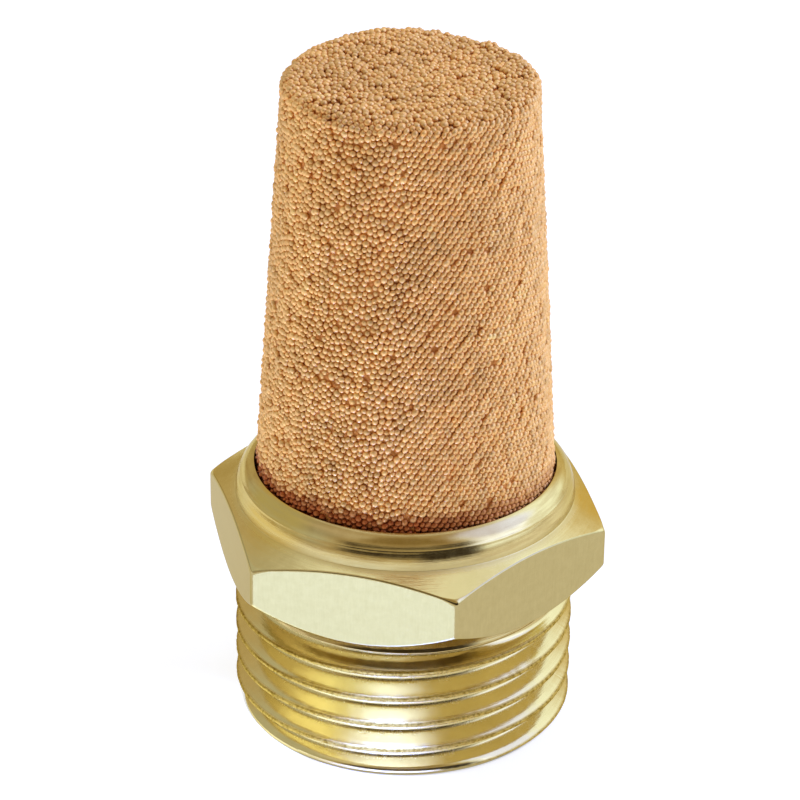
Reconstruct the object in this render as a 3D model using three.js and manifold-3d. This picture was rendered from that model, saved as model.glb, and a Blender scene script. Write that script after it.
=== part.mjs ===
// Pneumatic muffler: a turned brass body (male pipe thread, hexagon, rolled rim) and the hollow
// sintered-bronze cone that is pressed into it. Millimetres. The axis is +Z, z = 0 is the
// threaded end, and the cone's closed end is at the top. Air enters the bore at z = 0, fills
// the cone and leaves through its porous wall.

import * as THREE from 'three';
import { mergeVertices } from 'three/addons/utils/BufferGeometryUtils.js';
import Module from 'manifold-3d';

const wasm = await Module();
wasm.setup();

const DEG = Math.PI / 180;
const SIDES = 60; // facets round the axis, a multiple of 6 so that they match the hexagon

// Male thread G 1/2: 14 turns per inch, 55 degree Whitworth flanks, right-hand.
const PITCH = 25.4 / 14;
const MAJOR_R = 20.955 / 2;
const THREAD_DEPTH = 0.640327 * PITCH;
const MINOR_R = MAJOR_R - THREAD_DEPTH;
const FLANK_WIDTH = THREAD_DEPTH * Math.tan(27.5 * DEG);
const LAND_WIDTH = PITCH / 2 - FLANK_WIDTH; // flat on the crest, and the same in the root
const CREST_OVER_X = 0.57; // height of a crest's middle where the helix crosses the +X side
const END_R = 9.98; // rim of the thread's chamfered end
const NECK_R = 9.8; // shallow neck that ends the thread under the hexagon
const NECK_Z = 8.1;

// Hexagon: two flats face -Y and +Y, so two corners lie on the X axis.
const ACROSS_FLATS = 22;
const CORNER_R = ACROSS_FLATS / Math.sqrt(3);
const HEX_Z = 9.2;
const HEX_TOP_Z = 14.6;
const FACE_R = 10.45; // circle where both end chamfers start
const UNDER_CHAMFER = 41 * DEG;
const TOP_CHAMFER = 25.4 * DEG;

// Collar above the hexagon: a bulging side that runs on into a rim, rolled in over the cone.
const SIDE_R = 2.73; // bulge of the side, from its foot on the circle where the chamfer starts
const SIDE_FROM = 4; // which way the side faces at its foot, in degrees above level
const ROLL_FROM = 34; // and where the rolled rim takes over
const ROLL_R = 1.6;
const RIM_BORE_R = 9.25;

// Inside of the body.
const BORE_R = 7.25;
const BORE_CHAMFER = 0.5;
const SEAT_R = 9.6;
const SEAT_Z = 10.5;
const SEAT_TOP_Z = 15.6;

// Sintered cone: it stands on the seat, and narrows towards its closed end.
const CONE_BASE_R = 9.54;
const CONE_DRAFT = 3.73 * DEG;
const CONE_TOP_Z = 41.65;
const CONE_EDGE = 0.8; // round edge of the closed end
const CONE_BASE_CHAMFER = 0.4;
const CROWN = 3.2; // thickness of the closed end
const CAVITY_TOP_R = 5.6;
const CAVITY_EDGE = 1.0;

const MARGIN = 1; // how far cutting tools run past the surfaces they cut

// Points of an arc in the turning profile, angles in degrees from the +r direction.
function arc(centreR, centreZ, radius, from, to, steps) {
  const points = [];
  for (let i = 0; i <= steps; i += 1) {
    const angle = (from + ((to - from) * i) / steps) * DEG;
    points.push(at(centreR + radius * Math.cos(angle), centreZ + radius * Math.sin(angle)));
  }
  return points;
}

function at(r, z) {
  return new THREE.Vector2(r, z);
}

// Turns a profile, listed upwards along the outside, about the Z axis.
function turned(profile) {
  const geometry = new THREE.LatheGeometry(profile, SIDES);
  geometry.rotateX(90 * DEG);
  geometry.rotateZ(-90 * DEG);
  return welded(geometry);
}

// Merges shared corners and drops the empty triangles that lie on the axis.
function welded(geometry) {
  geometry.deleteAttribute('normal');
  geometry.deleteAttribute('uv');
  const merged = mergeVertices(geometry, 1e-4);
  const source = merged.index.array;
  const kept = [];
  for (let i = 0; i < source.length; i += 3) {
    const [a, b, c] = [source[i], source[i + 1], source[i + 2]];
    if (a !== b && b !== c && c !== a) {
      kept.push(a, b, c);
    }
  }
  merged.setIndex(kept);
  return merged;
}

function toSolid(geometry) {
  const vertProperties = new Float32Array(geometry.attributes.position.array);
  const triVerts = new Uint32Array(geometry.index.array);
  return new wasm.Manifold(new wasm.Mesh({ numProp: 3, vertProperties, triVerts }));
}

function toGeometry(solid) {
  const mesh = solid.getMesh();
  const geometry = new THREE.BufferGeometry();
  geometry.setAttribute('position', new THREE.BufferAttribute(mesh.vertProperties, 3));
  geometry.setIndex(new THREE.BufferAttribute(mesh.triVerts, 1));
  return geometry;
}

// One turn of the thread's profile: height above the crest's middle, and radius.
const threadProfile = [
  { rise: -LAND_WIDTH / 2, r: MAJOR_R },
  { rise: LAND_WIDTH / 2, r: MAJOR_R },
  { rise: LAND_WIDTH / 2 + FLANK_WIDTH, r: MINOR_R },
  { rise: LAND_WIDTH * 1.5 + FLANK_WIDTH, r: MINOR_R },
];

// Threaded rod from below z = 0 to above the hexagon's underside. Row j runs once round the
// axis and climbs one pitch, so its far end is the near end of the row one turn above it.
function threadedRod() {
  const perTurn = threadProfile.length;
  const turns = Math.ceil((HEX_Z + 2 * MARGIN) / PITCH) + 2;
  const rows = turns * perTurn;
  const positions = [];
  const index = [];
  const corner = [];
  for (let j = 0; j <= rows + perTurn; j += 1) {
    corner.push([]);
    const columns = j <= rows ? SIDES : 1;
    for (let i = 0; i < columns; i += 1) {
      const { rise, r } = threadProfile[j % perTurn];
      const turn = Math.floor(j / perTurn) - 2 + i / SIDES;
      const angle = (i / SIDES) * 2 * Math.PI;
      corner[j].push(positions.length / 3);
      positions.push(r * Math.cos(angle), r * Math.sin(angle), CREST_OVER_X + rise + turn * PITCH);
    }
  }
  const pick = (j, i) => (i === SIDES ? corner[j + perTurn][0] : corner[j][i]);
  for (let j = 0; j < rows; j += 1) {
    for (let i = 0; i < SIDES; i += 1) {
      index.push(pick(j, i), pick(j, i + 1), pick(j + 1, i + 1));
      index.push(pick(j, i), pick(j + 1, i + 1), pick(j + 1, i));
    }
  }
  for (const [row, flip] of [[0, true], [rows, false]]) {
    const loop = [];
    for (let i = 0; i < SIDES; i += 1) {
      loop.push(corner[row][i]);
    }
    for (let j = perTurn; j > 0; j -= 1) {
      loop.push(corner[row + j][0]);
    }
    const hub = positions.length / 3;
    positions.push(0, 0, positions[3 * corner[row][0] + 2]);
    loop.forEach((a, k) => {
      const b = loop[(k + 1) % loop.length];
      index.push(...(flip ? [hub, b, a] : [hub, a, b]));
    });
  }
  const geometry = new THREE.BufferGeometry();
  geometry.setAttribute('position', new THREE.Float32BufferAttribute(positions, 3));
  geometry.setIndex(index);
  return toSolid(geometry);
}

// Envelope that chamfers the thread's end and clears the neck under the hexagon.
function threadEnvelope() {
  const clearR = MAJOR_R + MARGIN;
  return toSolid(turned([
    at(0, 0),
    at(END_R, 0),
    at(clearR, clearR - END_R),
    at(clearR, NECK_Z - (clearR - NECK_R) / 2),
    at(NECK_R, NECK_Z + (clearR - NECK_R) / 4),
    at(NECK_R, HEX_Z + MARGIN),
    at(0, HEX_Z + MARGIN),
  ]));
}

function hexagonPrism() {
  const outline = new THREE.Shape();
  for (let k = 0; k < 6; k += 1) {
    const angle = k * 60 * DEG;
    outline[k ? 'lineTo' : 'moveTo'](CORNER_R * Math.cos(angle), CORNER_R * Math.sin(angle));
  }
  const settings = { depth: HEX_TOP_Z - HEX_Z, bevelEnabled: false };
  const prism = new THREE.ExtrudeGeometry(outline, settings);
  prism.translate(0, 0, HEX_Z);
  return toSolid(welded(prism));
}

// Cones that take the hexagon's corners off below and above.
function hexagonEnvelope() {
  const reach = CORNER_R + MARGIN - FACE_R;
  return toSolid(turned([
    at(0, HEX_Z),
    at(FACE_R, HEX_Z),
    at(FACE_R + reach, HEX_Z + reach * Math.tan(UNDER_CHAMFER)),
    at(FACE_R + reach, HEX_TOP_Z - reach * Math.tan(TOP_CHAMFER)),
    at(FACE_R, HEX_TOP_Z),
    at(0, HEX_TOP_Z),
  ]));
}

// Collar: the bulging side from its foot up, then the rolled rim to its highest point.
function collar() {
  const sideR = FACE_R - SIDE_R * Math.cos(SIDE_FROM * DEG);
  const sideZ = HEX_TOP_Z - SIDE_R * Math.sin(SIDE_FROM * DEG);
  const rollR = sideR + (SIDE_R - ROLL_R) * Math.cos(ROLL_FROM * DEG);
  const rollZ = sideZ + (SIDE_R - ROLL_R) * Math.sin(ROLL_FROM * DEG);
  return toSolid(turned([
    at(0, HEX_TOP_Z - MARGIN),
    at(FACE_R - 0.1, HEX_TOP_Z - MARGIN),
    ...arc(sideR, sideZ, SIDE_R, SIDE_FROM, ROLL_FROM, 4),
    ...arc(rollR, rollZ, ROLL_R, ROLL_FROM, 90, 7).slice(1),
    at(0, rollZ + ROLL_R),
  ]));
}

// Everything that is cut out of the body along the axis: mouth, bore, seat and rim opening.
function airway() {
  const top = HEX_TOP_Z + SIDE_R + MARGIN;
  return toSolid(turned([
    at(0, -MARGIN),
    at(BORE_R + BORE_CHAMFER + MARGIN, -MARGIN),
    at(BORE_R, BORE_CHAMFER),
    at(BORE_R, SEAT_Z),
    at(SEAT_R, SEAT_Z),
    at(SEAT_R, SEAT_TOP_Z),
    at(RIM_BORE_R, SEAT_TOP_Z + SEAT_R - RIM_BORE_R),
    at(RIM_BORE_R, top),
    at(0, top),
  ]));
}

function bodyGeometry() {
  const thread = threadedRod().intersect(threadEnvelope());
  const hexagon = hexagonPrism().intersect(hexagonEnvelope());
  return toGeometry(thread.add(hexagon).add(collar()).subtract(airway()));
}

// Cone: down the cavity from its roof, across the open base, then up the outside to the closed end.
function coneGeometry() {
  const sideR = (z) => CONE_BASE_R - (z - SEAT_Z) * Math.tan(CONE_DRAFT);
  const edgeZ = CONE_TOP_Z - CONE_EDGE;
  const roofZ = CONE_TOP_Z - CROWN;
  return turned([
    at(0, roofZ),
    ...arc(CAVITY_TOP_R - CAVITY_EDGE, roofZ - CAVITY_EDGE, CAVITY_EDGE, 90, 0, 4),
    at(BORE_R, SEAT_Z),
    at(CONE_BASE_R - CONE_BASE_CHAMFER, SEAT_Z),
    at(sideR(SEAT_Z + CONE_BASE_CHAMFER), SEAT_Z + CONE_BASE_CHAMFER),
    ...arc(sideR(edgeZ) - CONE_EDGE, edgeZ, CONE_EDGE, 0, 90, 6),
    at(0, CONE_TOP_Z),
  ]);
}

function part(name, geometry, color, roughness, metalness) {
  const material = new THREE.MeshStandardMaterial({ color, roughness, metalness });
  const mesh = new THREE.Mesh(geometry, material);
  mesh.name = name;
  return mesh;
}

const muffler = new THREE.Group();
muffler.add(part('threaded_hex_body', bodyGeometry(), 0xc2ab62, 0.28, 1.0));
muffler.add(part('sintered_bronze_cone', coneGeometry(), 0xc8935c, 0.6, 0.9));

export default muffler;
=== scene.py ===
"""Pneumatic muffler: a turned brass body and a cone of sintered bronze beads, on a white floor.

Lengths in this script are millimetres, and mesh and object data are made in metres. The row
frame is the CAD's: the axis is +Z, z = 0 is the threaded end, two hexagon flats face -Y and +Y.
"""

import math

import bmesh
import bpy
import numpy as np
from mathutils import Matrix, Vector


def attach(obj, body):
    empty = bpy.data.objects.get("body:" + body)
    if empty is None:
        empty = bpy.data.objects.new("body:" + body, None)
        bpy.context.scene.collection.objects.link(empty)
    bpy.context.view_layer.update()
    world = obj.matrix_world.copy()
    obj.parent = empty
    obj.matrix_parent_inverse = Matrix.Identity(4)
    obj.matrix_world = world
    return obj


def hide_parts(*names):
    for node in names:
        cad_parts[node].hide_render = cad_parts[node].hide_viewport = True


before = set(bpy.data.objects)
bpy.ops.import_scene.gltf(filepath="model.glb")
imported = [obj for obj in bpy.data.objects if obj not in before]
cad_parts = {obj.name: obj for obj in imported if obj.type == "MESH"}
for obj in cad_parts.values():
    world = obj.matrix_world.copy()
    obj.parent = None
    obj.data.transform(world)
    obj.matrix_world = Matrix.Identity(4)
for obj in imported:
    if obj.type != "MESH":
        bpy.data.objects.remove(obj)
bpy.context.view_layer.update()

MM = 0.001
TURN = 2 * math.pi

# The part's dimensions, as in its CAD source.
PITCH = 25.4 / 14
MAJOR_R = 20.955 / 2
THREAD_DEPTH = 0.640327 * PITCH
MINOR_R = MAJOR_R - THREAD_DEPTH
FLANK_DEGREES = 27.5
FLANK_WIDTH = THREAD_DEPTH * math.tan(math.radians(FLANK_DEGREES))
CREST_OVER_X = 0.57  # height of a crest's middle where the helix crosses the +X side
END_R = 9.98  # rim of the thread's chamfered end
NECK_Z = 8.1
CORNER_R = 22 / math.sqrt(3)
HEX_Z = 9.2
HEX_TOP_Z = 14.6
FACE_R = 10.45  # circle where both of the hexagon's chamfers start
UNDER_CHAMFER = math.radians(41)
TOP_CHAMFER = math.radians(25.4)
SIDE_R = 2.73  # bulge of the collar's side
SIDE_FROM = math.radians(4)  # which way the side faces at its foot
ROLL_FROM = math.radians(34)  # and where the rolled rim takes over
ROLL_R = 1.6
RIM_BORE_R = 9.25
BORE_R = 7.25
BORE_CHAMFER = 0.5
SEAT_R = 9.6
SEAT_Z = 10.5
SEAT_TOP_Z = 15.6
CONE_BASE_R = 9.54
CONE_DRAFT = math.radians(3.73)
CONE_SLOPE = math.tan(CONE_DRAFT)
CONE_TOP_Z = 41.65
CONE_EDGE = 0.8
CROWN = 3.2
CAVITY_TOP_R = 5.6
CAVITY_EDGE = 1.0

# This model's own: the groove that ends the neck, which the CAD has as a plain neck of 9.8,
# and the cone's radius at the top.
GROOVE_R = 9.62
GROOVE_Z = 8.80
CONE_TOP_R = 7.5

# ---------------------------------------------------------------------------------- camera

VIEW_AZIMUTH = math.radians(15.83)
VIEW_ELEVATION = math.radians(27.72)
VIEW_ROLL = math.radians(0.7485)
VIEW_DISTANCE = 205.76
AIM = Vector((0, 0, 22))
AIM_RIGHT = -0.383
AIM_UP = -1.348
LENS = 153.24

# Level directions from the part towards the camera and to its right.
TOWARD = Vector((math.sin(VIEW_AZIMUTH), -math.cos(VIEW_AZIMUTH), 0))
RIGHT = Vector((math.cos(VIEW_AZIMUTH), math.sin(VIEW_AZIMUTH), 0))
UP = Vector((0, 0, 1))


def make_camera():
    back = TOWARD * math.cos(VIEW_ELEVATION) + UP * math.sin(VIEW_ELEVATION)
    up = UP * math.cos(VIEW_ELEVATION) - TOWARD * math.sin(VIEW_ELEVATION)
    place = AIM + back * VIEW_DISTANCE + RIGHT * AIM_RIGHT + up * AIM_UP
    side = RIGHT * math.cos(VIEW_ROLL) + up * math.sin(VIEW_ROLL)
    top = up * math.cos(VIEW_ROLL) - RIGHT * math.sin(VIEW_ROLL)
    data = bpy.data.cameras.new("camera")
    data.lens = LENS
    data.sensor_width = 36
    data.clip_start = 0.001
    data.clip_end = 20
    camera = bpy.data.objects.new("camera", data)
    bpy.context.scene.collection.objects.link(camera)
    matrix = Matrix((side, top, back)).transposed().to_4x4()
    matrix.translation = place * MM
    camera.matrix_world = matrix
    bpy.context.scene.camera = camera


make_camera()
bpy.context.scene.view_settings.view_transform = "Standard"

# ------------------------------------------------------------------------------------ nodes


class Tree:
    """Adds nodes to the node tree of a material or a world. Each input of a new node is a
    number, a colour, a vector or another node's output."""

    def __init__(self, owner):
        owner.use_nodes = True
        self.nodes, self.links = owner.node_tree.nodes, owner.node_tree.links

    def feed(self, socket, value):
        if hasattr(value, "links"):
            self.links.new(value, socket)
        elif socket.type == "RGBA":
            socket.default_value = (*value, 1)
        else:
            socket.default_value = value

    def math(self, kind, *values):
        node = self.nodes.new("ShaderNodeMath")
        node.operation = kind
        for socket, value in zip(node.inputs, values):
            self.feed(socket, value)
        return node.outputs[0]

    def vector_math(self, kind, *vectors):
        node = self.nodes.new("ShaderNodeVectorMath")
        node.operation = kind
        for socket, vector in zip(node.inputs, vectors):
            self.feed(socket, vector)
        return node.outputs["Value"]

    def ramp(self, value, low, high, to_low=0.0, to_high=1.0, smooth=False):
        """to_low where the value is low, up to to_high where it is high, and held beyond."""
        node = self.nodes.new("ShaderNodeMapRange")
        node.interpolation_type = "SMOOTHSTEP" if smooth else "LINEAR"
        for socket, given in zip(node.inputs, (value, low, high, to_low, to_high)):
            self.feed(socket, given)
        return node.outputs[0]

    def mix(self, factor, a, b):
        """Colour a where the factor is 0, and b where it is 1."""
        node = self.nodes.new("ShaderNodeMix")
        node.data_type = "RGBA"
        for index, value in zip((0, 6, 7), (factor, a, b)):
            self.feed(node.inputs[index], value)
        return node.outputs[2]

    def noise(self, vector, scale, detail, roughness):
        node = self.nodes.new("ShaderNodeTexNoise")
        given = {"Vector": vector, "Scale": scale, "Detail": detail, "Roughness": roughness}
        for name, value in given.items():
            self.feed(node.inputs[name], value)
        return node.outputs["Fac"]

    def combine(self, x, y, z):
        node = self.nodes.new("ShaderNodeCombineXYZ")
        for socket, value in zip(node.inputs, (x, y, z)):
            self.feed(socket, value)
        return node.outputs[0]

    def bump(self, height, distance):
        node = self.nodes.new("ShaderNodeBump")
        self.feed(node.inputs["Distance"], distance * MM)
        self.feed(node.inputs["Height"], height)
        return node.outputs[0]

    def place(self, kind="Object"):
        return self.nodes.new("ShaderNodeTexCoord").outputs[kind]


def new_material(name):
    material = bpy.data.materials.new(name)
    tree = Tree(material)
    return material, tree, tree.nodes["Principled BSDF"]


# -------------------------------------------------------------------------------- materials

# Base colours. A pair holds the two ends of a noise.
BRIGHT_BRASS = (0.61, 0.49, 0.20), (0.70, 0.575, 0.25)
DULL_BRASS = (0.455, 0.365, 0.15), (0.495, 0.40, 0.17)
WORN_CREST = (0.56, 0.39, 0.085), (0.30, 0.18, 0.020)
BROWN_TARNISH_AND_PAINTED_SHADE = (0.36, 0.225, 0.07)
ORANGE_TARNISH = (0.64, 0.46, 0.12)
BRASS_EDGE = (0.76, 0.68, 0.45)
BEAD_GRAIN = (0.66, 0.31, 0.09)
PORES_WITH_PAINTED_SHADE = (0.88, 0.38, 0.10), (0.52, 0.19, 0.035)

# Places of tarnish, and of a painted reflection on the rim: a point of the part, and how far it
# reaches, outer and inner.
LIP_PAINTED_REFLECTION = (-12, 9.6, 16.3), 10.0, 5.5
COLLAR_TARNISH = (-52, 9.4, 15.9), 3.6, 1.6
CORNER_TARNISH = (86, 11.6, 13.9), 2.6, 1.0


def at_angle(azimuth, radius, z):
    """A point of the part, in mm: azimuth is in degrees from the front, positive to the right."""
    bearing = -TURN / 4 + VIEW_AZIMUTH + math.radians(azimuth)
    return Vector((radius * math.cos(bearing), radius * math.sin(bearing), z))


def brass_material():
    """Brass: bright where it was turned, duller on the six drawn flats, rough on the crests."""
    material, tree, shader = new_material("turned_brass")
    maths, mix, noise = tree.math, tree.mix, tree.noise
    place = tree.place()
    split = tree.nodes.new("ShaderNodeSeparateXYZ")
    tree.feed(split.inputs[0], place)
    x, y, z = split.outputs

    def band(value, low, high, smooth=True):
        """0 where a length is low, up to 1 where it is high. It falls if low is above high."""
        return tree.ramp(value, low * MM, high * MM, smooth=smooth)

    def near(centre, outer, inner):
        """1 within inner of a point of the part and 0 beyond outer."""
        return band(tree.vector_math("DISTANCE", place, at_angle(*centre) * MM), outer, inner)

    # Where things are: 1 on the flats, the crests, the roots and so on, and 0 elsewhere.
    radius = maths("SQRT", maths("ADD", maths("MULTIPLY", x, x), maths("MULTIPLY", y, y)))
    # Distance out along the nearest hexagon normal; it is the same all over the six flats.
    slant = maths("MULTIPLY_ADD", maths("ABSOLUTE", x), math.cos(TURN / 12),
                  maths("MULTIPLY", maths("ABSOLUTE", y), math.sin(TURN / 12)))
    out = maths("MAXIMUM", slant, maths("ABSOLUTE", y))
    flat = maths("MULTIPLY", band(out, 10.90, 10.94), band(z, 9.0, 9.3, False))
    on_thread = band(z, 8.7, 8.4, False)
    crest = maths("MULTIPLY", band(radius, 10.30, 10.42, False), on_thread)
    root = maths("MULTIPLY", band(radius, 9.75, 9.5, False), on_thread)
    groove = maths("MULTIPLY", band(z, 8.1, 8.4), band(z, 9.5, 9.25, False))
    corner = maths("MULTIPLY", band(z, 14.35, 14.6), band(z, 15.15, 14.8))

    # Noises: turning marks, large and small stains, burrs, drawing marks and streaks.
    marks = noise(tree.combine(radius, 0.0, z), 9000, 2, 0.6)
    patch = noise(place, 420, 4, 0.55)
    stain = noise(place, 1900, 5, 0.65)
    burr = noise(place, 5200, 3, 0.7)
    along_z = tree.combine(maths("MULTIPLY", x, 9.0), maths("MULTIPLY", y, 9.0), z)
    drawn = noise(along_z, 900, 4, 0.6)
    streak = noise(tree.combine(x, y, maths("MULTIPLY", z, 16.0)), 330, 4, 0.6)

    tone = maths("MULTIPLY_ADD", patch, 0.6, maths("MULTIPLY", stain, 0.4))
    bright = mix(tree.ramp(tone, 0.3, 0.7), *BRIGHT_BRASS)
    grain = tree.ramp(maths("MULTIPLY_ADD", stain, 1.5, drawn), 0.95, 1.55)
    colour = mix(flat, bright, mix(grain, *DULL_BRASS))
    # Brown painted in the groove as painted shade, in streaks at the collar's foot, and on the rim
    # in front as a painted reflection of the cone's dark foot.
    foot = maths("MULTIPLY", band(z, 14.65, 14.9), tree.ramp(streak, 0.42, 0.62))
    lip_painted_reflection = maths("MULTIPLY", band(z, 15.75, 16.1), tree.ramp(patch, 0.3, 0.65, 0.95, 0.5))
    # Painted reflection: the rim is darkened most just left of the front.
    lip_painted_reflection = maths("MULTIPLY", lip_painted_reflection, near(*LIP_PAINTED_REFLECTION))
    painted_shade_and_brown = maths("MAXIMUM", maths("MULTIPLY", groove, 0.5), maths("MULTIPLY", foot, 0.35))
    painted_shade_and_brown = maths("MAXIMUM", painted_shade_and_brown, maths("MULTIPLY", lip_painted_reflection, 0.8))
    colour = mix(painted_shade_and_brown, colour, BROWN_TARNISH_AND_PAINTED_SHADE)
    colour = mix(crest, colour, mix(tree.ramp(burr, 0.45, 0.62), *WORN_CREST))
    orange = maths("MAXIMUM", near(*COLLAR_TARNISH), near(*CORNER_TARNISH))
    orange = maths("MULTIPLY", orange, tree.ramp(streak, 0.30, 0.55, 0.35, 0.9))
    colour = mix(orange, colour, ORANGE_TARNISH)

    # Rougher on the crests, at the roots and in the corner at the collar's foot.
    rough = tree.ramp(stain, 0.35, 0.7, 0.13, 0.21)
    for where, more in ((crest, 0.42), (flat, -0.05), (root, 0.10), (corner, 0.22)):
        rough = maths("MULTIPLY_ADD", where, more, rough)

    height = maths("MULTIPLY_ADD", marks, 0.6, maths("MULTIPLY", stain, 0.5))
    height = maths("MULTIPLY_ADD", maths("MULTIPLY", burr, crest), 2.5, height)
    height = maths("MULTIPLY", height, tree.ramp(flat, 0.0, 1.0, 1.0, 0.3))
    height = maths("MULTIPLY_ADD", maths("MULTIPLY", drawn, flat), 0.25, height)
    height = maths("MULTIPLY_ADD", streak, 1.0, height)

    shader.inputs["Metallic"].default_value = 1.0
    shader.inputs["Specular Tint"].default_value = (*BRASS_EDGE, 1)
    tree.feed(shader.inputs["Base Color"], colour)
    tree.feed(shader.inputs["Roughness"], rough)
    tree.feed(shader.inputs["Normal"], tree.bump(height, 0.006))
    return material


def bead_material():
    """Bronze beads: each has its own tint, with painted shade and highlight, stored on its
    vertices, and a slightly matt skin.
    """
    material, tree, shader = new_material("sintered_bronze")
    shader.inputs["Metallic"].default_value = 1.0
    tint = tree.nodes.new("ShaderNodeAttribute")
    tint.attribute_name = "Tint"
    grain = tree.noise(tree.place(), 9000, 2, 0.6)
    colour = tree.mix(tree.ramp(grain, 0.3, 0.7, 0.0, 0.35), tint.outputs["Color"], BEAD_GRAIN)
    tree.feed(shader.inputs["Base Color"], colour)
    tree.feed(shader.inputs["Roughness"], tree.ramp(grain, 0.3, 0.7, 0.44, 0.58))
    tree.feed(shader.inputs["Normal"], tree.bump(grain, 0.01))
    return material


def core_material():
    """What shows between the beads: the beads underneath, with painted shade darkening each
    towards its edge.
    """
    material, tree, shader = new_material("bronze_pores")
    shader.inputs["Metallic"].default_value = 0.6
    shader.inputs["Roughness"].default_value = 0.6
    cells = tree.nodes.new("ShaderNodeTexVoronoi")
    tree.feed(cells.inputs["Vector"], tree.place())
    cells.inputs["Scale"].default_value = 2600
    away = cells.outputs["Distance"]
    # Painted shade: each cell is lighter in its middle and darker towards its edge.
    tree.feed(shader.inputs["Base Color"], tree.mix(tree.ramp(away, 0.0, 0.55), *PORES_WITH_PAINTED_SHADE))
    up = tree.math("SUBTRACT", 1.0, away)
    tree.feed(shader.inputs["Normal"], tree.bump(up, 0.15))
    return material


# ----------------------------------------------------------------------------- mesh helpers


def mesh_from_arrays(name, points_mm, faces):
    """A mesh from an array of points and an array of triangles or quads."""
    mesh = bpy.data.meshes.new(name)
    mesh.vertices.add(len(points_mm))
    mesh.vertices.foreach_set("co", (points_mm * MM).astype(np.float32).ravel())
    mesh.loops.add(faces.size)
    mesh.loops.foreach_set("vertex_index", faces.astype(np.int32).ravel())
    mesh.polygons.add(len(faces))
    starts = np.arange(0, faces.size, faces.shape[1], dtype=np.int32)
    mesh.polygons.foreach_set("loop_start", starts)
    mesh.update(calc_edges=True)
    mesh.validate()
    return mesh


def add_uv(mesh, uv):
    """Gives the mesh the UV map that baking needs, from a (u, v) for each face corner."""
    layer = mesh.uv_layers.new(name="OFBake")
    layer.data.foreach_set("uv", uv.astype(np.float32).ravel())


def add_piece(name, mesh, material):
    mesh.materials.append(material)
    piece = bpy.data.objects.new(name, mesh)
    bpy.context.scene.collection.objects.link(piece)
    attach(piece, "root")
    return piece


def turned_mesh(name, theta, rows):
    """A closed smooth mesh from rows of (radius, height) at each of the angles theta, which run
    once round from 0 to TURN. Its UV map is the surface cut open and laid flat."""
    radius, height = rows[:, 0], rows[:, 1]
    points = np.stack([radius * np.cos(theta), radius * np.sin(theta), height], -1)
    i, j = np.meshgrid(np.arange(len(rows) - 1), np.arange(len(theta) - 1), indexing="ij")
    first = (i * len(theta) + j).ravel()
    faces = np.stack([first, first + 1, first + len(theta) + 1, first + len(theta)], 1)
    mesh = mesh_from_arrays(name, points.reshape(-1, 3), faces)
    # Rows that lie close together get at least this much of the map.
    least = 0.02
    step = np.maximum(np.linalg.norm(np.diff(rows.mean(2), axis=0), axis=1), least)
    along = np.concatenate([[0], np.cumsum(step)])
    uv = np.stack(np.broadcast_arrays(theta / TURN, (along / along[-1])[:, None]), -1)
    add_uv(mesh, uv.reshape(-1, 2)[faces.ravel()])
    work = bmesh.new()
    work.from_mesh(mesh)
    bmesh.ops.remove_doubles(work, verts=work.verts, dist=2e-6)
    loose = [v for v in work.verts if not v.link_faces]
    bmesh.ops.delete(work, geom=loose, context="VERTS")
    for face in work.faces:
        face.smooth = True
    work.to_mesh(mesh)
    work.free()
    return mesh


# --------------------------------------------------------------------------------- the body

SIDE_COLUMNS = 96
CLOSE_COLUMNS = (0.1, 0.3, 0.5, 0.75, 1.1)
CREST_LAND = 0.17
CREST_EDGE_R = 0.07
CREST_POINTS = 5
ROOT_POINTS = 8
HEX_EDGE_R = 0.35
HEX_MIDDLE_Z = 12
COLLAR_POINTS = 64

# Burrs along the crests: how many columns a patch of them is long, and how they are held.
BURR_PATCH = 12
BURR_SIZE = 0.007
BURR_MEAN = 0.6
BURR_FROM_R = 10.35
BURR_FADE = 0.1
BURR_REACH = 0.12

# The crease under the collar's roll: where it is on the side's arc, its width and its height.
CREASE_AT = math.radians(28.5)
CREASE_WIDTH = math.radians(1.4)
CREASE_HEIGHT = 0.016


def column_angles():
    """Angles of the grid's columns: even, and closer at the hexagon's six corners."""
    close = np.radians([-a for a in reversed(CLOSE_COLUMNS)] + list(CLOSE_COLUMNS))
    even = np.linspace(0, TURN / 6, SIDE_COLUMNS + 1)[3:-3]
    angles = []
    for k in range(6):
        angles += [k * TURN / 6 + even, k * TURN / 6 + close]
    angles = np.sort(np.concatenate(angles) % TURN)
    angles = angles[(angles > 1e-6) & (angles < TURN - 1e-6)]
    return np.concatenate([[0], angles, [TURN]])


def smooth_min(a, b, reach):
    near = np.maximum(reach - np.abs(a - b), 0) / reach
    return np.minimum(a, b) - near * near * reach / 4


def thread_outline():
    """Half a pitch of the thread's section: distance from the crest's middle, and radius."""
    turn = 90 - FLANK_DEGREES
    ease = math.tan(math.radians(turn / 2))
    root_r = (PITCH / 2 - FLANK_WIDTH - CREST_LAND / 2) / ease
    points = []
    for a in np.radians(np.linspace(0, turn, CREST_POINTS)):
        points.append((CREST_LAND / 2 - CREST_EDGE_R * ease + CREST_EDGE_R * math.sin(a),
                       MAJOR_R - CREST_EDGE_R + CREST_EDGE_R * math.cos(a)))
    for a in np.radians(np.linspace(turn, 0, ROOT_POINTS)):
        points.append((PITCH / 2 - root_r * math.sin(a), MINOR_R + root_r - root_r * math.cos(a)))
    return np.array(points).T


THREAD_RISE, THREAD_RADIUS = thread_outline()


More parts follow.
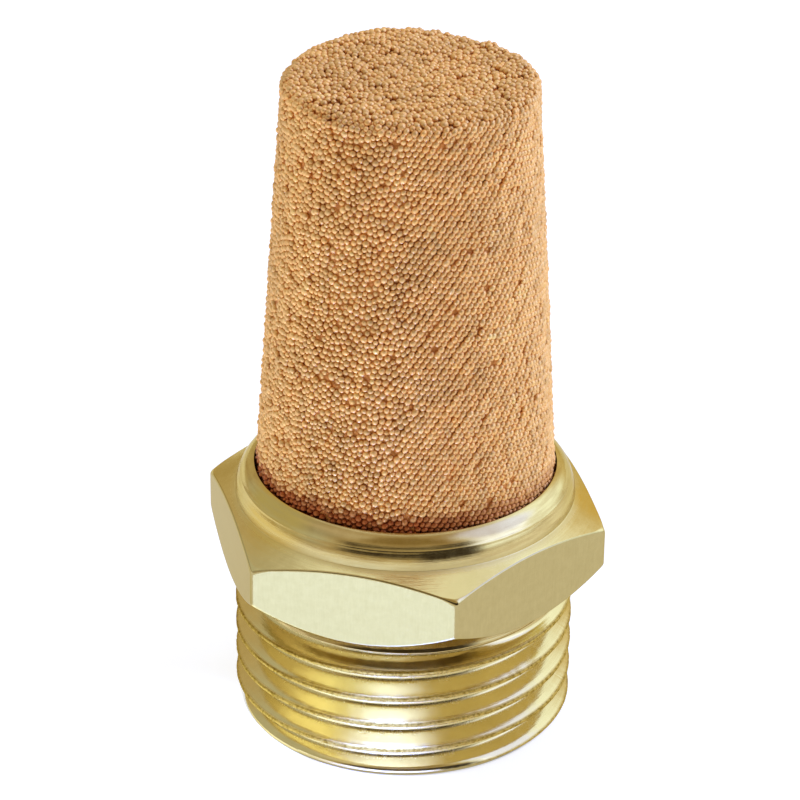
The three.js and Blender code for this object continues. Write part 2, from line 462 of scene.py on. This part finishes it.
def burr_noise(turns, columns):
    """Noise along the crests, for each turn and column. The last column of a turn is the first
    of the next, so the noise runs on along the helix."""
    rng = np.random.default_rng(5)
    count = turns * (columns - 1) + 1
    fine = rng.normal(0, 1, count + 2)
    fine = (fine[:-2] + fine[1:-1] * 2 + fine[2:]) / 2.4
    knots = np.arange(count // BURR_PATCH + 2)
    patchy = np.interp(np.arange(count) / BURR_PATCH, knots, rng.normal(0, 1, len(knots)))
    strength = np.clip(0.7 + 0.7 * patchy, 0.2, 2)
    run = np.clip(fine * strength + 0.6 * patchy, -2, 2)
    return np.array([run[k * (columns - 1):(k + 1) * (columns - 1) + 1] for k in range(turns)])


def thread_surface(theta, z):
    """Radius of the threaded end at an angle and a height."""
    phase = (z - CREST_OVER_X - PITCH * theta / TURN) / PITCH
    distance = np.abs(phase - np.round(phase)) * PITCH
    radius = np.interp(distance, THREAD_RISE, THREAD_RADIUS)
    radius = smooth_min(radius, END_R + z, 0.12)
    # Above the last turn the tool ran out on a slope, down to the neck and the groove.
    neck = GROOVE_R + np.maximum(GROOVE_Z - z, 0) * 0.5
    run_out = np.maximum(neck, GROOVE_R + 0.25 + (GROOVE_Z - 0.5 - z) / 0.75)
    radius = np.where(z > NECK_Z - 1.5, smooth_min(radius, run_out, 0.1), radius)
    fade = np.clip((z - NECK_Z - 0.05) / 0.35, 0, 1)
    return radius + (neck - radius) * fade * fade * (3 - 2 * fade)


def corner_bearing(theta):
    """Angle from the nearest corner of the hexagon."""
    return (theta + TURN / 12) % (TURN / 6) - TURN / 12


def hexagon_radius(theta):
    """Distance from the axis to the hexagon's side, with each corner rounded."""
    bearing = corner_bearing(theta)
    flat = CORNER_R * math.cos(TURN / 12) / np.cos(TURN / 12 - np.abs(bearing))
    centre = CORNER_R - HEX_EDGE_R / math.cos(TURN / 12)
    inside = np.maximum(HEX_EDGE_R ** 2 - (centre * np.sin(bearing)) ** 2, 0)
    arc = centre * np.cos(bearing) + np.sqrt(inside)
    touch = math.atan2(HEX_EDGE_R * math.sin(TURN / 12),
                       centre + HEX_EDGE_R * math.cos(TURN / 12))
    return np.where(np.abs(bearing) < touch, arc, flat)


def collar_outline():
    """The collar from its foot up to the rim's inner edge, with the crease under the roll."""
    side_r = FACE_R - SIDE_R * math.cos(SIDE_FROM)
    side_z = HEX_TOP_Z - SIDE_R * math.sin(SIDE_FROM)
    roll_r = side_r + (SIDE_R - ROLL_R) * math.cos(ROLL_FROM)
    roll_z = side_z + (SIDE_R - ROLL_R) * math.sin(ROLL_FROM)
    last = math.acos((RIM_BORE_R - roll_r) / ROLL_R)
    points = []
    for a in np.linspace(SIDE_FROM, last, COLLAR_POINTS):
        centre_r, centre_z, radius = ((side_r, side_z, SIDE_R) if a < ROLL_FROM
                                      else (roll_r, roll_z, ROLL_R))
        crease = (a - CREASE_AT) / CREASE_WIDTH
        radius += CREASE_HEIGHT * math.exp(-crease * crease)
        points.append((centre_r + radius * math.cos(a), centre_z + radius * math.sin(a)))
    return points


def body_rows():
    """The whole turned section as a list of rows. A row is (radius, height) at each column."""
    theta = column_angles()
    ones = np.ones_like(theta)
    rows = []
    gaps = []

    def line(points):
        for r, z in points:
            rows.append(np.stack([r * ones, z * ones]))

    def rounded(a, b, c, reach, steps=4, guard=0.03):
        """Rounds the corner b between a and c, each a row or a plain (radius, height). The
        curve starts at reach from the corner. Guard rows just outside it keep its shading off
        the faces beside it."""
        a, b, c = (np.stack([p[0] * ones, p[1] * ones]) for p in (a, b, c))
        back, on = a - b, c - b
        back = back / np.linalg.norm(back, axis=0)
        on = on / np.linalg.norm(on, axis=0)
        rows.append(b + back * (reach + guard))
        for s in np.linspace(0, 1, steps + 1):
            rows.append((1 - s) ** 2 * (b + back * reach) + 2 * s * (1 - s) * b
                        + s ** 2 * (b + on * reach))
        rows.append(b + on * (reach + guard))

    def between(*shares):
        """Marks where rows go on the straight from the last row to the next one added."""
        gaps.append((len(rows), shares))

    # End face, from the mouth of the bore out to the thread, with a small edge.
    edge = 0.1
    edge_r = thread_surface(theta, edge * ones)
    line([(BORE_R + BORE_CHAMFER + 0.4, 0), (8.9, 0)])
    for a in np.linspace(0, TURN / 4, 4):
        line([(edge_r - edge * (1 - math.sin(a)), edge * (1 - math.cos(a)))])
    # Thread: rows climb with the helix, and are held between the end's edge and the groove.
    flank = 0.5 * (THREAD_RISE[CREST_POINTS - 1] + THREAD_RISE[CREST_POINTS])
    rises = np.concatenate([-THREAD_RISE, THREAD_RISE, [0.0, flank, -flank]])
    rises = np.unique(np.round(rises, 5))
    rises = rises[rises < PITCH / 2 - 1e-4]
    first = math.floor((edge - CREST_OVER_X - rises.max()) / PITCH)
    turns = math.ceil((GROOVE_Z - CREST_OVER_X) / PITCH) - first + 1
    burrs = burr_noise(turns, len(theta))
    for k in range(turns):
        for rise in rises:
            z = CREST_OVER_X + rise + (first + k) * PITCH + PITCH * theta / TURN
            held = np.clip(z, edge, GROOVE_Z)
            radius = thread_surface(theta, held)
            crest = np.clip((radius - BURR_FROM_R) / BURR_FADE, 0, 1) * (abs(rise) < BURR_REACH)
            radius = radius + (burrs[k] - BURR_MEAN) * BURR_SIZE * crest
            rows.append(np.stack([radius, held]))
    # Groove, with the small raised edge that the thread's run-out leaves at its foot.
    burr_r = 0.06
    for a in np.radians(np.linspace(-80, 80, 6)):
        line([(GROOVE_R - 0.01 + burr_r * math.cos(a), GROOVE_Z + 0.08 + burr_r * math.sin(a))])
    # Hexagon. Its edges are softest by the corners.
    side = hexagon_radius(theta)
    under_edge = (side, HEX_Z + (side - FACE_R) * math.tan(UNDER_CHAMFER))
    top_edge = (side, HEX_TOP_Z - (side - FACE_R) * math.tan(TOP_CHAMFER))
    middle = (side, HEX_MIDDLE_Z * ones)
    bearing = np.abs(corner_bearing(theta))
    soft = 0.09 + 0.2 * np.exp(-(bearing / math.radians(2.6)) ** 2)
    rounded((GROOVE_R, GROOVE_Z), (GROOVE_R, HEX_Z), (FACE_R, HEX_Z), 0.12)
    rounded((GROOVE_R, HEX_Z), (FACE_R, HEX_Z), under_edge, 0.06)
    rounded((FACE_R, HEX_Z), under_edge, middle, soft * 0.5)
    between(0.5)
    rounded(middle, top_edge, (FACE_R, HEX_TOP_Z), soft)
    between(0.33, 0.67)
    # The collar, and the rim's inner edge.
    collar = collar_outline()
    rounded(top_edge, collar[0], collar[3], 0.03, 2, 0.02)
    line(collar[2:-3])
    rounded(collar[-3], collar[-1], (RIM_BORE_R, SEAT_TOP_Z), 0.05, 3, 0.01)
    # Inside: rim opening, seat, bore and mouth.
    ramp = SEAT_R - RIM_BORE_R
    line([(RIM_BORE_R, SEAT_TOP_Z + ramp), (SEAT_R, SEAT_TOP_Z), (SEAT_R, SEAT_Z + 0.1),
          (SEAT_R - 0.1, SEAT_Z), (8.4, SEAT_Z), (BORE_R + 0.1, SEAT_Z), (BORE_R, SEAT_Z - 0.1),
          (BORE_R, 7.5), (BORE_R, 4.5)])
    rounded((BORE_R, 4), (BORE_R, BORE_CHAMFER), (BORE_R + BORE_CHAMFER, 0), 0.05)
    rounded((BORE_R, BORE_CHAMFER), (BORE_R + BORE_CHAMFER, 0), (9, 0), 0.05)
    rows.append(rows[0])
    for place, shares in reversed(gaps):
        before, after = rows[place - 1], rows[place]
        rows[place:place] = [before + (after - before) * share for share in shares]
    return theta, np.array(rows)


def make_body():
    mesh = turned_mesh("turned_body", *body_rows())
    piece = add_piece("turned_body", mesh, brass_material())
    normals = piece.modifiers.new("normals", "WEIGHTED_NORMAL")
    normals.mode = "FACE_AREA"
    normals.weight = 50
    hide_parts("threaded_hex_body")


# --------------------------------------------------------------------------------- the cone

BEAD_PITCH = 0.388
BEADS_FROM_Z = 15.7
BEADS_PER_BAND = 2400


def cone_side_r(z):
    return CONE_BASE_R - (z - SEAT_Z) * CONE_SLOPE


# Lengths along the cone's outline from BEADS_FROM_Z: up the side, over the rounded edge, and
# all the way to the axis.
EDGE_Z = CONE_TOP_Z - CONE_EDGE
SIDE_LENGTH = (EDGE_Z - BEADS_FROM_Z) / math.cos(CONE_DRAFT)
EDGE_LENGTH = CONE_EDGE * TURN / 4
OUTLINE_LENGTH = SIDE_LENGTH + EDGE_LENGTH + (cone_side_r(EDGE_Z) - CONE_EDGE)

# The direction of the beads' rows on the cone's side, and where the flat sheet's middle is.
ROW_SLANT = math.radians(53)
SHEET_MIDDLE = -TURN / 4 + VIEW_AZIMUTH + math.radians(15)
ORDERLY_MIDDLE = SHEET_MIDDLE + math.radians(28)

# Sizes of the beads and their first shake, as shares of the pitch. Loose ones are those
# outside the rows.
SIZE_SPREAD, LOOSE_SPREAD = 0.08, 0.05
LOOSE_SIZE, SMALLER_IN_ROW = 1.14, 0.07
SHAKE, LOOSE_SHAKE = 0.19, 0.23

# How deep the beads lie. In a triple, the first holds for every bead, the second is added for
# a loose one and the third for one on top.
DEPTH_SPREAD = 0.015, 0.02, 0.025
CLUMP_DEPTH = 0.018, 0.022, 0
LOST_SHARE = 0.035, 0.045, 0.01
HOLE_SHARE = 0.006
RIDGE_DEPTH = 0.030
WIDE_CLUMP_DEPTH = 0.010
RAISED, TOP_RAISED = 0.02, 0.11

# The beads' colour, how much of it the foot loses to painted shade, and its factors on a bead's
# sides and end, a painted shade and a painted highlight.
BEAD_BRONZE = (0.86, 0.545, 0.215)
PAINTED_FOOT_SHADE = (0.60, 0.86, 0.92)
PAINTED_SIDE_SHADE = (0.95, 0.86, 0.75)
PAINTED_END_HIGHLIGHT = (1.04, 1.06, 1.10)


def outline_point(s):
    """Radius and height of the cone's outline at a length s along it, and the two parts of
    its outward normal."""
    on_side = np.clip(s, 0, SIDE_LENGTH)
    turn = np.clip((s - SIDE_LENGTH) / CONE_EDGE, 0, TURN / 4)
    over = np.maximum(s - SIDE_LENGTH - EDGE_LENGTH, 0)
    r = cone_side_r(BEADS_FROM_Z) - on_side * math.sin(CONE_DRAFT)
    z = BEADS_FROM_Z + on_side * math.cos(CONE_DRAFT)
    r = r - CONE_EDGE * (1 - np.cos(turn)) - over
    z = z + CONE_EDGE * np.sin(turn)
    lift = np.where(turn > 0, turn, CONE_DRAFT)
    return r, z, np.cos(lift), np.sin(lift)


def to_space(theta, s):
    """Points and outward normals of the cone's surface."""
    r, z, nr, nz = outline_point(s)
    cos, sin = np.cos(theta), np.sin(theta)
    points = np.stack([r * cos, r * sin, z], 1)
    normals = np.stack([nr * cos, nr * sin, nz], 1)
    return points, normals


def scatter(rng):
    """Where the beads start: angle, length up the outline, how orderly each is, its row's
    direction, and how deep its stretch of the row lies.

    The cone's side is a flat sheet rolled up, so the beads there start as a flat hexagonal
    lattice. It is shaken, hard except on one side, where rows stay visible. The beads on top
    start at random."""
    sine = math.sin(CONE_DRAFT)
    base = cone_side_r(BEADS_FROM_Z) / sine
    span = int(2.6 * base * math.sin(math.pi * sine) / BEAD_PITCH)
    i, j = np.meshgrid(np.arange(-span, span), np.arange(-span, span), indexing="ij")
    i, j = i.ravel(), j.ravel()
    across = BEAD_PITCH * (i * math.cos(ROW_SLANT) + j * math.cos(ROW_SLANT + TURN / 6))
    up = BEAD_PITCH * (i * math.sin(ROW_SLANT) + j * math.sin(ROW_SLANT + TURN / 6))
    up = up - base + SIDE_LENGTH / 2
    rolled = np.arctan2(across, -up)
    s = base - np.hypot(across, up)
    lattice_to = SIDE_LENGTH + EDGE_LENGTH * 0.6
    keep = (s > 0) & (s < lattice_to) & (np.abs(rolled) < math.pi * sine)
    i, j, rolled, s = i[keep], j[keep], rolled[keep], s[keep]
    theta = SHEET_MIDDLE + rolled / sine
    order = np.clip((np.cos(theta - ORDERLY_MIDDLE) - 0.5) / 0.35, 0, 1)
    shake = BEAD_PITCH * (SHAKE + LOOSE_SHAKE * (1 - order))
    theta = theta + rng.normal(0, 1, len(s)) * shake / outline_point(s)[0]
    s = s + rng.normal(0, 1, len(s)) * shake
    # Stretches of a row, five beads long, that stand proud of the next or lie deeper.
    stretch = (i + 5 * (j % 3)) // 5 * 1000 + j
    _, stretch = np.unique(stretch, return_inverse=True)
    ridge = rng.normal(0, 1, stretch.max() + 1)[stretch] * order
    # Random points on top, even over its area, and a little fewer than would fill it.
    ring = np.linspace(lattice_to, OUTLINE_LENGTH, 600)
    r = np.maximum(outline_point(ring)[0], 0)
    area = np.concatenate([[0], np.cumsum((r[1:] + r[:-1]) / 2 * np.diff(ring))]) * TURN
    count = int(area[-1] / (BEAD_PITCH ** 2 * math.sqrt(3) / 2) * 0.97)
    none = np.zeros(count)
    theta = np.concatenate([theta, rng.random(count) * TURN]) % TURN
    s = np.concatenate([s, np.interp(rng.random(count) * area[-1], area, ring)])
    order = np.concatenate([order, none])
    row = np.concatenate([ROW_SLANT - rolled, none])
    ridge = np.concatenate([ridge, none])
    return theta, s, order, row, ridge


def near_pairs(points, reach):
    """Index pairs of points closer than reach, by sorting them into cubes."""
    cell = np.floor((points - points.min(0)) / reach).astype(np.int64) + 1
    size = cell.max(0) + 2
    key = (cell[:, 0] * size[1] + cell[:, 1]) * size[2] + cell[:, 2]
    order = np.argsort(key, kind="stable")
    sorted_key = key[order]
    firsts, seconds = [], []
    for dx in (-1, 0, 1):
        for dy in (-1, 0, 1):
            for dz in (-1, 0, 1):
                want = key + (dx * size[1] + dy) * size[2] + dz
                start = np.searchsorted(sorted_key, want, "left")
                stop = np.searchsorted(sorted_key, want, "right")
                for k in range(int((stop - start).max())):
                    has = np.nonzero(start + k < stop)[0]
                    other = order[start[has] + k]
                    keep = has < other
                    firsts.append(has[keep])
                    seconds.append(other[keep])
    a, b = np.concatenate(firsts), np.concatenate(seconds)
    close = np.einsum("ij,ij->i", points[a] - points[b], points[a] - points[b]) < reach ** 2
    return a[close], b[close]


def relax(theta, s, sizes):
    """Pushes overlapping beads apart along the surface, as when they settle in the mould."""
    for turn in range(40):
        points, _ = to_space(theta, s)
        if turn % 6 == 0:
            a, b = near_pairs(points, BEAD_PITCH * 1.35)
        apart = points[a] - points[b]
        distance = np.maximum(np.linalg.norm(apart, axis=1), 1e-6)
        want = (sizes[a] + sizes[b]) / 2 * BEAD_PITCH
        push = np.clip(want - distance, 0, None) / distance * 0.45
        move = np.zeros_like(points)
        for axis in range(3):
            step = apart[:, axis] * push
            move[:, axis] = np.bincount(a, step, len(points)) - np.bincount(b, step, len(points))
        r, _, nr, nz = outline_point(s)
        cos, sin = np.cos(theta), np.sin(theta)
        along = -nz * (move[:, 0] * cos + move[:, 1] * sin) + nr * move[:, 2]
        sideways = -move[:, 0] * sin + move[:, 1] * cos
        theta = theta + sideways / np.maximum(r, 0.15)
        s = s + along
        # A bead that crosses the axis comes down on the other side.
        beyond = s > OUTLINE_LENGTH
        theta = np.where(beyond, theta + TURN / 2, theta) % TURN
        s = np.where(beyond, 2 * OUTLINE_LENGTH - s, s)
        s = np.where(s < 0, -s, s)
    return theta, s


def bead_template():
    work = bmesh.new()
    bmesh.ops.create_icosphere(work, subdivisions=2, radius=1)
    points = np.array([v.co[:] for v in work.verts])
    faces = np.array([[v.index for v in f.verts] for f in work.faces])
    work.free()
    return points, faces


def bead_uv(points, faces):
    """Flat picture of a bead, seen from outside, in a unit cell. Its back is the picture's rim."""
    corner = points[faces]
    away = np.arccos(np.clip(corner[..., 2], -1, 1)) / math.pi
    bearing = np.arctan2(corner[..., 1], corner[..., 0])
    centre = corner.mean(1)
    middle = np.arctan2(centre[:, 1], centre[:, 0])[:, None]
    bearing = np.where(away > 0.99, middle, bearing)
    return np.stack([0.5 + 0.46 * away * np.cos(bearing), 0.5 + 0.46 * away * np.sin(bearing)], -1)


def clumps(rng, points, size):
    """Smooth noise of about unit spread over the points, with lumps about size mm across."""
    total = np.zeros(len(points))
    waves = 14
    for _ in range(waves):
        wave = rng.normal(0, 1, 3) * 2.2 / size
        total += np.sin(points @ wave + rng.random() * TURN)
    return total / math.sqrt(waves / 2)


def bead_depths(rng, surface, order, ridge, top):
    """How deep each bead's outer end lies under the cone's even surface."""
    count = len(order)

    def graded(every, loose, on_top):
        return every + loose * (1 - order) + on_top * top

    depth = np.abs(rng.normal(0, 1, count)) * graded(*DEPTH_SPREAD)
    depth = depth - RAISED - TOP_RAISED * top
    depth = depth + graded(*CLUMP_DEPTH) * clumps(rng, surface, 0.7) + RIDGE_DEPTH * ridge
    depth = depth + WIDE_CLUMP_DEPTH * clumps(rng, surface, 2.5)
    # Pores where a bead is lost, and a few deeper holes.
    draw = rng.random(count)
    lost = draw < graded(*LOST_SHARE)
    depth = depth + np.where(lost, 0.07 + 0.08 * rng.random(count), 0)
    return depth + np.where(draw < HOLE_SHARE, 0.12, 0)


def raise_top(surface, top):
    """Makes the closed end a little higher at the back, and lower at its right."""
    right = surface @ np.array(RIGHT) / CONE_TOP_R
    rear = np.clip(surface @ np.array(-TOWARD) / CONE_TOP_R, 0, 1) * top
    lift = 0.2 * np.clip(1 - right / 0.3, 0, 1) * np.clip((right + 0.8) / 0.35, 0, 1)
    lift = lift - 0.1 * np.exp(-((right - 0.40) / 0.16) ** 2)
    surface[:, 2] += rear * np.where(right < 0.3, np.maximum(lift, 0), lift)


def bead_colours(rng, theta, surface):
    count = len(theta)
    shade = np.clip(rng.normal(0, 1, count), -2, 2)
    shade = shade * 0.06 + 0.05 * clumps(rng, surface, 0.6) + 0.03 * clumps(rng, surface, 4)
    colour = np.array(BEAD_BRONZE) * (1 + shade[:, None])
    warm = rng.normal(0, 0.05, count)
    colour = colour * np.stack([1 + 0 * warm, 1 - 0.6 * warm, 1 - 1.6 * warm], 1)
    # Painted shade: dark red-brown where the beads go down behind the rim, less so on the right.
    away = theta + TURN / 4 - VIEW_AZIMUTH
    low = np.clip((17.9 - surface[:, 2] + 0.17 * rng.normal(0, 1, count)) / 1.1, 0, 1)
    low = low * low * (3 - 2 * low) * (1 - 0.6 * np.clip(np.cos(away - 1.75) + 0.05, 0, 1))
    colour = colour * (1 - low[:, None] * np.array(PAINTED_FOOT_SHADE))
    return np.clip(colour, 0.02, 0.95)


def bead_axes(rng, order, row, normals):
    """Each bead's first two axes, along its row if it is in one, and its size along all three:
    beads of the rows are a little longer along them."""
    count = len(order)
    spin = np.where(order > 0.2, row + rng.normal(0, 0.15, count), rng.random(count) * TURN)
    squeeze = 1 + rng.normal(0, 0.05, (count, 3))
    squeeze[:, 0] += 0.26 * order
    squeeze[:, 1] -= 0.06 * order
    upward = np.tile([0.0, 0.0, 1.0], (count, 1))
    upward[np.abs(normals[:, 2]) > 0.7] = (1.0, 0.0, 0.0)
    first = np.cross(upward, normals)
    first /= np.linalg.norm(first, axis=1)[:, None]
    second = np.cross(normals, first)
    ax = first * np.cos(spin)[:, None] + second * np.sin(spin)[:, None]
    return ax, np.cross(normals, ax), squeeze


def make_beads():
    rng = np.random.default_rng(20)
    theta, s, order, row, ridge = scatter(rng)
    spread = SIZE_SPREAD + LOOSE_SPREAD * (1 - order)
    sizes = 1 + np.clip(rng.normal(0, 1, len(theta)), -2.3, 2.3) * spread
    theta, s = relax(theta, s, sizes)
    surface, normals = to_space(theta, s)
    top = np.clip((s - SIDE_LENGTH + 0.3) / 0.6, 0, 1)
    radius = BEAD_PITCH / 2 * sizes * (LOOSE_SIZE - SMALLER_IN_ROW * order)
    depth = bead_depths(rng, surface, order, ridge, top)
    raise_top(surface, top)
    centres = surface - normals * (radius + depth)[:, None]
    colour = bead_colours(rng, theta, surface)
    ax, ay, squeeze = bead_axes(rng, order, row, normals)

    template, faces = bead_template()
    uv_cell = bead_uv(template, faces)
    # Each bead is painted lighter on its outer end, as a painted highlight, and redder towards its
    # neighbours, as painted shade.
    end_highlight_and_side_shade = np.clip((template[:, 2:] - 0.30) / 0.65, 0, 1)
    end_highlight_and_side_shade = np.array(PAINTED_SIDE_SHADE) * (1 - end_highlight_and_side_shade) + np.array(PAINTED_END_HIGHLIGHT) * end_highlight_and_side_shade
    # Pieces: bands of the cone from the foot up, each with its share of the beads.
    material = bead_material()
    names = [f"bead_band_{k + 1}" for k in range(math.ceil(len(s) / BEADS_PER_BAND))]
    bands = np.array_split(np.argsort(s, kind="stable"), len(names))
    for name, chosen in zip(names, bands):
        count = len(chosen)
        local = template[None] * (radius[chosen, None] * squeeze[chosen])[:, None, :]
        points = (centres[chosen, None] + local[..., :1] * ax[chosen, None]
                  + local[..., 1:2] * ay[chosen, None] + local[..., 2:] * normals[chosen, None])
        index = faces[None] + (np.arange(count) * len(template))[:, None, None]
        mesh = mesh_from_arrays(name, points.reshape(-1, 3), index.reshape(-1, 3))
        tints = mesh.color_attributes.new(name="Tint", type="FLOAT_COLOR", domain="POINT")
        values = np.ones((count, len(template), 4), np.float32)
        values[..., :3] = np.clip(colour[chosen, None] * end_highlight_and_side_shade, 0.02, 0.97)
        tints.data.foreach_set("color", values.ravel())
        across = math.ceil(math.sqrt(count))
        cell = np.stack([np.arange(count) % across, np.arange(count) // across], 1)
        add_uv(mesh, (uv_cell[None] + cell[:, None, None, :]) / across)
        mesh.polygons.foreach_set("use_smooth", np.ones(len(mesh.polygons), bool))
        add_piece(name, mesh, material)


def make_core():
    """The cone's wall under the outer beads: hollow, closed at the top, open at the seat."""
    depth = 0.22
    foot_z = SEAT_Z + 0.02
    foot_r = BORE_R + 0.05
    roof_z = CONE_TOP_Z - CROWN
    cavity_z = roof_z - CAVITY_EDGE
    # Below the beads the wall reaches out to the seat. Under them it lies deeper.
    outline = [(foot_r, foot_z), (CONE_BASE_R - 0.42, foot_z),
               (cone_side_r(SEAT_Z) - 0.05, SEAT_Z + 0.4),
               (cone_side_r(BEADS_FROM_Z - 0.25) - 0.05, BEADS_FROM_Z - 0.25),
               (cone_side_r(BEADS_FROM_Z - 0.2) - depth, BEADS_FROM_Z - 0.2)]
    for z in np.linspace(BEADS_FROM_Z, EDGE_Z, 40):
        outline.append((cone_side_r(z) - depth, z))
    edge = CONE_EDGE - depth
    for a in np.linspace(0, TURN / 4, 9)[1:]:
        outline.append((cone_side_r(EDGE_Z) - CONE_EDGE + edge * math.cos(a),
                        EDGE_Z + edge * math.sin(a)))
    flat_r = outline[-1][0]
    for share in (0.75, 0.5, 0.25, 0.0):
        outline.append((flat_r * share, CONE_TOP_Z - depth))
    # The cavity: flat roof, rounded edge and wall.
    for r in (0.0, 1.6, 3.2, CAVITY_TOP_R - CAVITY_EDGE):
        outline.append((r, roof_z))
    for a in np.linspace(TURN / 4, 0, 7)[1:]:
        outline.append((CAVITY_TOP_R - CAVITY_EDGE + CAVITY_EDGE * math.cos(a),
                        cavity_z + CAVITY_EDGE * math.sin(a)))
    for share in np.linspace(0, 1, 30)[1:]:
        outline.append((CAVITY_TOP_R + (foot_r - CAVITY_TOP_R) * share,
                        cavity_z + (foot_z - cavity_z) * share))
    theta = np.linspace(0, TURN, 145)
    rows = np.repeat(np.array(outline)[:, :, None], len(theta), axis=2)
    mesh = turned_mesh("porous_core", theta, rows)
    piece = add_piece("porous_core", mesh, core_material())
    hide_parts("sintered_bronze_cone")


# ------------------------------------------------------------------------ floor and lighting

FLOOR_WHITE = 0.5
FLOOR_GAP = 0.02
FLOOR_HALF = 3000
FLOOR_GLOW = (0.98, 1.0, 1.06)
POOL_HEIGHT = 160
WARM_FILL = (0.66, 0.56, 0.40)
DARK = (0.05, 0.04, 0.03)


def make_floor():
    """White floor that also glows a little, like an acrylic light table, so shadows stay faint. It
    glows less under the part, a painted contact shadow."""
    corners = np.array([[-1, -1], [1, -1], [1, 1], [-1, 1]], float) * FLOOR_HALF
    corners = np.hstack([corners, np.full((4, 1), -FLOOR_GAP)])
    mesh = mesh_from_arrays("floor", corners, np.array([[0, 1, 2, 3]]))
    material, tree, shader = new_material("floor_white")
    shader.inputs["Base Color"].default_value = (*[FLOOR_WHITE] * 3, 1)
    shader.inputs["Roughness"].default_value = 0.9
    shader.inputs["Specular IOR Level"].default_value = 0.0
    shader.inputs["Emission Color"].default_value = (*FLOOR_GLOW, 1)
    from_axis = tree.vector_math("LENGTH", tree.place())
    # Painted contact shadow: the glow fades out close under the part.
    glow_with_painted_shadow = tree.ramp(from_axis, 9.9 * MM, 10.15 * MM, 0.1, 0.70, smooth=True)
    tree.feed(shader.inputs["Emission Strength"], glow_with_painted_shadow)
    mesh.materials.append(material)
    floor = bpy.data.objects.new("floor", mesh)
    bpy.context.scene.collection.objects.link(floor)


def toward(c, r, z):
    """World direction from parts towards the camera, to its right and up."""
    return (TOWARD * c + RIGHT * r + UP * z).normalized()


def pool_light(name, centre, radius, radiance, colour, blend):
    """A spot that lights a round pool on the floor. centre is (towards the camera, right)."""
    target = TOWARD * centre[0] + RIGHT * centre[1]
    lean = toward(0.25, -0.1, 1)
    data = bpy.data.lights.new(name, "SPOT")
    data.spot_size = 2 * math.atan(radius / POOL_HEIGHT)
    data.spot_blend = blend
    data.shadow_soft_size = 3 * MM
    data.color = colour
    # A spot of power P gives an irradiance of P / (4 pi d^2) at distance d.
    data.energy = radiance / FLOOR_WHITE * 4 * math.pi ** 2 * (POOL_HEIGHT * MM) ** 2
    light = bpy.data.objects.new(name, data)
    bpy.context.scene.collection.objects.link(light)
    light.location = (target + lean * POOL_HEIGHT) * MM
    light.rotation_euler = lean.to_track_quat("Z", "Y").to_euler()
    light.visible_camera = False


def make_world():
    """The studio as a map of brightness by direction. Azimuths are from the side where the
    camera stands, positive to its right, and elevations from the horizon, in degrees."""
    world = bpy.data.worlds.new("studio")
    tree = Tree(world)
    place = tree.place("Generated")

    def along(direction):
        return tree.vector_math("DOT_PRODUCT", place, direction)

    azimuth = tree.math("ARCTAN2", along(RIGHT), along(TOWARD))
    elevation = tree.math("ARCSINE", along(UP))

    def zone(azimuth_at, half_width, low, high, soft):
        """1 inside a box of directions and 0 outside it, with soft sides."""
        middle, width, low, high, edge = (
            math.radians(a) for a in (azimuth_at, half_width, low, high, soft))
        turned = tree.math("ABSOLUTE", tree.math("SUBTRACT", azimuth, middle))
        inside = tree.ramp(turned, width + edge, width - edge, smooth=True)
        above = tree.ramp(elevation, low - edge, low + edge, smooth=True)
        below = tree.ramp(elevation, high + edge, high - edge, smooth=True)
        return tree.math("MULTIPLY", inside, tree.math("MULTIPLY", above, below))

    def lobe(direction, inner, outer):
        """1 within inner degrees of a direction, falling to 0 at outer degrees."""
        return tree.ramp(along(direction), math.cos(math.radians(outer)),
                         math.cos(math.radians(inner)), smooth=True)

    # Cards and lamps over the warm fill, each over those before it.
    light = WARM_FILL
    for where, colour in (
        (zone(-95, 40, 5, 60, 9), (0.63, 0.65, 0.64)),  # grey, left
        (zone(-70, 28, 48, 72, 9), (0.86, 0.83, 0.82)),  # lighter, high on the left
        (zone(155, 22, 0, 48, 10), (0.90, 0.78, 0.55)),  # warm, behind on the right
        (zone(95, 45, 5, 62, 9), (1.38, 1.62, 2.2)),  # large and bright, right
        (lobe(toward(0.22, 0.80, 0.55), 13, 23), (1.7, 2.05, 3.9)),  # lamp, right
        (lobe(toward(0.02, 0.66, 0.75), 15, 25), (1.25, 1.5, 3.3)),  # lamp, higher up
        (lobe(toward(-0.38, 0.0, 0.93), 17, 27), (1.16, 1.27, 1.5)),  # lamp, over the back
        (zone(0, 36, 48, 82, 9), (0.40, 0.31, 0.16)),  # dim, high in front
        (zone(2, 46, 10, 38, 7), DARK),  # the dark side of the studio, in front
        (zone(30, 20, 0, 20, 6), DARK),  # and low to its right
    ):
        light = tree.mix(where, light, colour)
    background = tree.nodes["Background"]
    tree.feed(background.inputs["Color"], light)
    background.inputs["Strength"].default_value = 1.0
    bpy.context.scene.world = world


make_floor()
make_world()
pool_light("pool_front", (16.6, -2.2), 6.0, 16.5, (0.12, 0.205, 1.0), 0.3)
pool_light("pool_left", (30, -15), 17.0, 2.2, (0.285, 0.46, 1.0), 0.5)
pool_light("pool_side", (10, -15), 9.5, 2.7, (0.5, 0.65, 1.0), 0.9)

make_body()
make_beads()
make_core()
